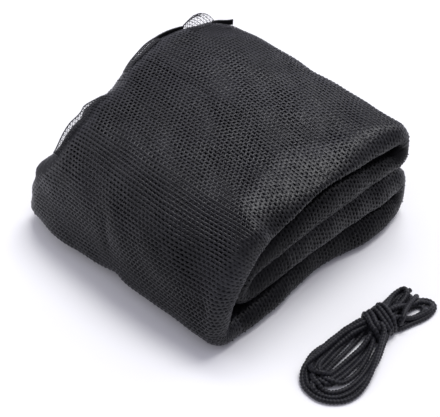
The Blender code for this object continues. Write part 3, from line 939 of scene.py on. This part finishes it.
class CutEdge:
    """Points round the cut edge of the upper packet."""

    def __init__(self, sheet):
        keep = sheet.place < UPPER_END
        rows = np.column_stack([sheet.middle, sheet.out, sheet.sizes])[keep]
        depth = rows[:, 0] + rows[:, 2] * rows[:, 4] / 2.0
        order = np.argsort(depth)
        self.depth, self.rows = depth[order], rows[order]

    def point(self, depth, along, lift):
        """Points at these depths, places round the edge and distances off it."""
        depth, along, lift = np.broadcast_arrays(depth, along, lift)
        columns = [np.interp(depth, self.depth, self.rows[:, i]) for i in range(self.rows.shape[1])]
        y, z, out_y, out_z, thickness, _, _, _, tip, nose = columns
        angle = math.pi / 2.0 * (1.0 - np.maximum(along, 0.0))
        half = thickness / 2.0
        slant_x, slant_z = -np.cos(angle) / nose, np.sin(angle) / half
        length = np.hypot(slant_x, slant_z)
        x = tip + nose * (1.0 - np.cos(angle)) + lift * slant_x / length
        x = x - np.minimum(along, 0.0) * nose * math.pi / 2.0
        reach = np.sin(angle) * half + lift * slant_z / length
        return slumped(np.stack([x, y + out_y * reach, z + out_z * reach], axis=-1))


# A free edge is drawn through rows of (depth, along at its inner side, along at its free side, lift at the
# inner side, lift in the middle, lift at the free side).
FREE_LAYER_FRONT = (
    (-0.126, 0.30, 0.62, 0.0000, 0.0004, 0.0010),
    (-0.112, 0.30, 0.66, 0.0000, 0.0014, 0.0032),
    (-0.098, 0.30, 0.68, 0.0000, 0.0020, 0.0046),
    (-0.084, 0.30, 0.68, 0.0000, 0.0020, 0.0044),
    (-0.068, 0.25, 0.64, 0.0000, 0.0010, 0.0022),
    (-0.050, 0.20, 0.60, 0.0000, 0.0000, 0.0000),
)
FREE_LAYER_BACK = (
    (0.080, -0.05, 0.70, 0.0004, 0.0016, 0.0008),
    (0.086, -0.05, 0.75, 0.0004, 0.0060, 0.0050),
    (0.093, -0.05, 0.80, 0.0004, 0.0105, 0.0080),
    (0.100, -0.05, 0.80, 0.0004, 0.0140, 0.0105),
    (0.106, -0.05, 0.75, 0.0004, 0.0150, 0.0110),
    (0.109, -0.05, 0.70, 0.0004, 0.0130, 0.0090),
)
FREE_LAYER_MIDDLE = (
    (-0.012, 0.35, 0.60, 0.0004, 0.0006, 0.0004),
    (0.002, 0.35, 0.66, 0.0004, 0.0010, 0.0014),
    (0.016, 0.35, 0.70, 0.0004, 0.0014, 0.0022),
    (0.032, 0.35, 0.70, 0.0006, 0.0018, 0.0026),
    (0.048, 0.35, 0.66, 0.0006, 0.0018, 0.0026),
)
SHEER_YARN = 0.00022  # radius
SELVEDGE_YARN = 0.00055


def free_surface(edge, table, depth, share):
    """Points of a free layer: share goes from its inner side to its free side."""
    table = np.array(table)
    inner, outer, low, middle, high = (np.interp(depth, table[:, 0], table[:, i]) for i in range(1, 6))
    along = inner + (outer - inner) * share
    lift = low * (1.0 - share) ** 2 + 2.0 * middle * share * (1.0 - share) + high * share**2
    return edge.point(depth, along, lift + LAYER_GAP)


def yarn_tubes(lines, radius, sides=5):
    """Points and quads of round yarns along many lines of equal length."""
    lines = np.asarray(lines)
    ahead = np.gradient(lines, axis=1)
    ahead /= np.maximum(np.linalg.norm(ahead, axis=2, keepdims=True), 1e-9)
    side = np.cross(ahead, (0.31, 0.47, 0.83))
    side /= np.linalg.norm(side, axis=2, keepdims=True)
    rise = np.cross(ahead, side)
    angle = 2.0 * math.pi * np.arange(sides) / sides
    ring = side[:, :, None] * np.cos(angle)[:, None] + rise[:, :, None] * np.sin(angle)[:, None]
    points = lines[:, :, None] + ring * radius
    count, long = lines.shape[:2]
    return points.reshape(-1, 3), tube_faces(count, long, sides)


def sheer_net(name, edge, table, node, material, width, layers=1, seed=1):
    """A free layer of the net: thin rows across it, slanting stitches between them, and a thick free edge."""
    rng = np.random.default_rng(seed)
    start, end = table[0][0], table[-1][0]
    rows = round((end - start) / ROW_PITCH)
    groups = []
    for layer in range(layers):
        depths = start + (end - start) * (np.arange(rows + 1) + 0.4 * layer) / (rows + 0.4 * layers)
        share = np.linspace(0.0, 1.0, 20)
        jitter = rng.normal(0.0, 0.0002, (len(depths), 1))
        bars = free_surface(edge, table, depths[:, None] + jitter, share[None, :])
        groups.append(yarn_tubes(bars, SHEER_YARN * 1.5))
        zigs = 2 * round(width / HOLE_PITCH * 1.4)
        corner = np.linspace(0.0, 1.0, zigs * 2 + 1)
        swing = np.abs(np.arange(zigs * 2 + 1) % 4 / 2.0 - 1.0)
        between = depths[:-1, None] + np.diff(depths)[:, None] * swing[None, :]
        groups.append(yarn_tubes(free_surface(edge, table, between, corner[None, :]), SHEER_YARN))
    depths = np.linspace(start, end, 60)
    groups.append(yarn_tubes(free_surface(edge, table, depths, 1.0)[None], SELVEDGE_YARN, sides=8))
    points, faces = joined(groups)
    return surface_piece(name, points, faces, material, node)


def tape(name, middle, across, out, width, thick, material, node, rib=0.00010, around=20):
    """A woven tape along a middle line, with rounded edges, cross ribs and closed ends."""
    middle, across, out = (np.asarray(values, float) for values in (middle, across, out))
    count = len(middle)
    angle = 2.0 * math.pi * np.arange(around) / around
    flat = np.sign(np.cos(angle)) * np.abs(np.cos(angle)) ** 0.55
    height = np.sign(np.sin(angle)) * np.abs(np.sin(angle)) ** 0.55
    ribs = rib * np.cos(math.pi * np.arange(count))[:, None] * np.sign(height)[None, :]
    width, thick = np.broadcast_to(width, count), np.broadcast_to(thick, count)
    points = (
        middle[:, None]
        + across[:, None] * (width[:, None] / 2.0 * flat)[:, :, None]
        + out[:, None] * (thick[:, None] / 2.0 * height + ribs)[:, :, None]
    )
    faces = tube_faces(1, count, around)
    index = np.arange(count * around).reshape(count, around)
    ends = []
    for row in (index[0], index[-1][::-1]):
        for k in range(around // 2 - 1):
            ends.append((row[k], row[around - 1 - k], row[around - 2 - k], row[k + 1]))
    return surface_piece(name, points, np.vstack([faces, ends]), material, node)


MARGIN = (3.10, 5.10)  # the smooth hem of the cut edge runs between these places
MARGIN_LIFT = 0.0009
MARGIN_RIB = 0.00036
MARGIN_WEAVE = 0.0028  # its ribs are this far apart
MARGIN_STEP = 0.0009


def add_margin(sheet, material):
    """The smooth woven margin along the cut edge, over the front shoulder. It narrows towards the top."""
    start, end = (np.interp(place, sheet.place, sheet.s[:-1]) for place in MARGIN)
    s = np.arange(start, end, MARGIN_STEP)
    row = np.round(sheet.row_of(s)).astype(int)
    quarter = (sheet.edge_root - sheet.edge_end)[row] / 2.0
    share = np.linspace(0.0, 1.0, len(s))
    inner = sheet.edge_root[row] - quarter * (0.90 - 0.72 * np.sin(math.pi * share**0.8))
    outer = sheet.edge_root[row] - quarter * 1.80
    across = np.linspace(0.0, 1.0, 30)
    a = outer[:, None] + (inner - outer)[:, None] * across
    turn = 2.0 * math.pi / MARGIN_WEAVE
    ribs = MARGIN_RIB * np.sin(turn * (a + 0.5 * s[:, None])) * np.sin(turn * (a - 0.5 * s[:, None]))
    fall_across = np.minimum(1.0, 4.0 * np.minimum(across, 1.0 - across))
    fall_along = np.minimum(1.0, 9.0 * np.minimum(share, 1.0 - share))
    fall = fall_across[None, :] * fall_along[:, None]
    points = sheet.at(s[:, None] + 0.0 * a, a, MARGIN_LIFT * fall + ribs * fall)
    index = np.arange(points.shape[0] * points.shape[1]).reshape(points.shape[:2])
    faces = np.stack([index[:-1, :-1], index[:-1, 1:], index[1:, 1:], index[1:, :-1]], axis=-1).reshape(-1, 4)
    return surface_piece("net_margin", points, faces, material, "folded_netting")


BINDING = (0.046, 0.081)  # from depth, to depth
BINDING_ALONG = 0.66
BINDING_WIDTH = 0.0080
BINDING_THICK = 0.0020
BINDING_POINTS = 110


def add_binding(edge, material):
    """The woven binding sewn to the free top edge of the net."""
    depth = np.linspace(*BINDING, BINDING_POINTS)
    share = np.linspace(0.0, 1.0, BINDING_POINTS)
    lift = 0.0006 + 0.0010 * np.sin(math.pi * share) ** 0.8
    middle = edge.point(depth, BINDING_ALONG, lift)
    above = edge.point(depth, BINDING_ALONG - 0.09, lift + 0.0024)
    across = above - middle
    across /= np.linalg.norm(across, axis=1, keepdims=True)
    ahead = np.gradient(middle, axis=0)
    out = np.cross(ahead, across)
    out /= np.linalg.norm(out, axis=1, keepdims=True)
    tips = np.minimum(share, 1.0 - share) / 0.03
    width = BINDING_WIDTH * np.sqrt(np.clip(1.0 - (1.0 - np.minimum(tips + 0.3, 1.0)) ** 2, 0.0, 1.0))
    return tape("net_edge_binding", middle, across, out, width, BINDING_THICK, material, "edge_binding")


STRAP_LENGTH, STRAP_WIDTH, STRAP_THICK = 0.022, 0.0075, 0.0020
STRAP_MIDDLE = (-0.1041, 0.1126, 0.1146)
STRAP_TURN = math.radians(58.0)
STRAP_TILT = math.radians(-3.0)
STRAP_POINTS = 56


def add_strap_end(material):
    """The short end of webbing that pokes out over the back corner, standing on its edge."""
    level = np.array((math.cos(STRAP_TURN), math.sin(STRAP_TURN), 0.0))
    side = np.array((-level[1], level[0], 0.0))
    rise = np.array((0.0, 0.0, math.cos(STRAP_TILT))) - level * math.sin(STRAP_TILT)
    ahead = level * math.cos(STRAP_TILT) + np.array((0.0, 0.0, math.sin(STRAP_TILT)))
    share = np.linspace(0.0, 1.0, STRAP_POINTS)[:, None]
    middle = np.array(STRAP_MIDDLE) + ahead * STRAP_LENGTH * (share - 0.5)
    width = STRAP_WIDTH * (0.25 + 0.65 * share)
    middle = middle + side * 0.0006 * np.sin(6.0 * share) + rise * (STRAP_WIDTH - width) / 2.0
    across = np.tile(rise, (STRAP_POINTS, 1))
    out = np.tile(side, (STRAP_POINTS, 1))
    return tape("net_strap_end", middle, across, out, width[:, 0], STRAP_THICK, material, "strap_end")


# ---- Stage ----

FLOOR_HALF = 6.0
FLOOR_DROP = 0.0002


def add_floor():
    """A plain pale surface."""
    material, shader = shader_of("floor", (0.94, 0.94, 0.94), 0.9)
    shader.inputs["Specular IOR Level"].default_value = 0.1
    reach = FLOOR_HALF
    corners = [(-reach, -reach, 0.0), (reach, -reach, 0.0), (reach, reach, 0.0), (-reach, reach, 0.0)]
    floor = mesh_piece("floor", corners, [(0, 1, 2, 3)], material, smooth=False)
    floor.location.z = -FLOOR_DROP


SUN_FROM = (-0.07, 0.42, 0.90)  # the direction that the soft main light comes from
SUN_ANGLE = math.radians(28.0)
SUN_STRENGTH = 1.6
GLINT_FROM = (-0.36, 0.36, 0.86)
GLINT_ANGLE = math.radians(14.0)  # a narrower light from further to the left, for the shine of the yarn
GLINT_STRENGTH = 0.42

SKY_BRIGHT, SKY_DIM = 0.64, 0.35  # the surround is dimmer on the side of the near corner
SKY_DIM_SIDE = (0.75, -0.66, 0.0)
SKY_COLOUR = (0.86, 0.85, 1.0, 1.0)

Light = namedtuple("Light", "name place target size energy colour")
LIGHTS = (
    Light("back", (0.25, 0.95, 0.75), (0.05, 0.05, 0.10), 0.7, 2.2, (0.97, 0.97, 1.0)),
    Light("left", (-0.52, -0.50, 0.34), (-0.06, -0.10, 0.04), 0.35, 0.85, (1.0, 0.99, 1.0)),
)


def add_lamp(name, kind, energy, towards):
    """A lamp that shines towards a direction."""
    data = bpy.data.lights.new(name, kind)
    data.energy = energy
    lamp = bpy.data.objects.new(name, data)
    lamp.rotation_euler = towards.to_track_quat("-Z", "Y").to_euler()
    bpy.context.scene.collection.objects.link(lamp)
    return lamp


def add_lights():
    """A soft main light from above and behind, a narrower one, and two weak ones beside them."""
    add_lamp("main", "SUN", SUN_STRENGTH, -Vector(SUN_FROM)).data.angle = SUN_ANGLE
    add_lamp("glint", "SUN", GLINT_STRENGTH, -Vector(GLINT_FROM)).data.angle = GLINT_ANGLE
    for light in LIGHTS:
        lamp = add_lamp(light.name, "AREA", light.energy, Vector(light.target) - Vector(light.place))
        lamp.location = light.place
        lamp.data.shape = "SQUARE"
        lamp.data.size = light.size
        lamp.data.color = light.colour


def add_surround():
    """A pale, slightly lilac surround that is dimmer on one side."""
    world = bpy.data.worlds.new("surround")
    world.use_nodes = True
    nodes, links = world.node_tree.nodes, world.node_tree.links
    sky = nodes["Background"]
    sky.inputs["Color"].default_value = SKY_COLOUR
    place = nodes.new("ShaderNodeTexCoord")
    facing = nodes.new("ShaderNodeVectorMath")
    facing.operation = "DOT_PRODUCT"
    facing.inputs[1].default_value = SKY_DIM_SIDE
    links.new(place.outputs["Generated"], facing.inputs[0])
    strength = nodes.new("ShaderNodeMapRange")
    for socket, value in (
        ("From Min", -0.2), ("From Max", 0.9), ("To Min", SKY_BRIGHT), ("To Max", SKY_DIM)
    ):
        strength.inputs[socket].default_value = value
    links.new(facing.outputs["Value"], strength.inputs["Value"])
    links.new(strength.outputs["Result"], sky.inputs["Strength"])
    bpy.context.scene.world = world
    bpy.context.scene.view_settings.view_transform = "Standard"


cord_material = fibre_material(
    "cord_yarn", (0.005, 0.005, 0.0065), (0.017, 0.017, 0.021), 0.42, 0.20, 0.10, 1500.0, 90.0, 0.5
)
net_material = fibre_material(
    "net_yarn", (0.0085, 0.0085, 0.0096), (0.0210, 0.0210, 0.0240), 0.34, 0.27, 0.08, 700.0, 35.0, 0.4
)
# A darker copy of the net yarn, as painted shade on the parts that face down or inwards.
shaded_material = fibre_material(
    "net_yarn_painted_shade", (0.0050, 0.0050, 0.0058), (0.0105, 0.0105, 0.0120), 0.40, 0.16, 0.05, 700.0, 35.0, 0.4
)
# A darker copy of the net yarn, as painted shade on the knitting that lies under the outer layer.
second_material = fibre_material(
    "net_second_yarn_painted_shade", (0.0060, 0.0060, 0.0070), (0.0130, 0.0130, 0.0150), 0.42, 0.22, 0.06, 700.0, 35.0, 0.4
)
# A much darker copy of the net yarn for the inner layers, which are real cloth: painted shade of the depths
# between them.
inner_material = fibre_material(
    "net_inner_yarn_painted_shade", (0.0025, 0.0025, 0.0030), (0.0050, 0.0050, 0.0058), 0.6, 0.05, 0.0, 700.0, 35.0, 0.4
)
hem_material = fibre_material(
    "net_hem_yarn", (0.0050, 0.0050, 0.0060), (0.0140, 0.0140, 0.0160), 0.5, 0.12, 0.05, 420.0, 30.0, 0.8
)
webbing_material = fibre_material(
    "webbing", (0.0040, 0.0040, 0.0045), (0.0090, 0.0090, 0.0100), 0.35, 0.3, 0.1, 900.0, 60.0, 0.5
)

add_camera()
add_cord(cord_material)
net_sheet = Sheet()
knitting = add_knitting(net_sheet, net_material, shaded_material, second_material)
knitting.append(add_margin(net_sheet, hem_material))
inner_layers = add_inner_layers(net_sheet, inner_material)
cut_edge = CutEdge(net_sheet)
front_layer = sheer_net(
    "loose_layer_front_net", cut_edge, FREE_LAYER_FRONT, "loose_layer_front", net_material, 0.012
)
back_layer = sheer_net(
    "loose_layer_back_net", cut_edge, FREE_LAYER_BACK, "loose_layer_back", net_material, 0.024
)
middle_layer = sheer_net(
    "loose_layer_middle_net", cut_edge, FREE_LAYER_MIDDLE, "edge_binding", net_material, 0.012, layers=2
)
add_binding(cut_edge, webbing_material)
add_strap_end(webbing_material)
add_floor()
add_lights()
add_surround()
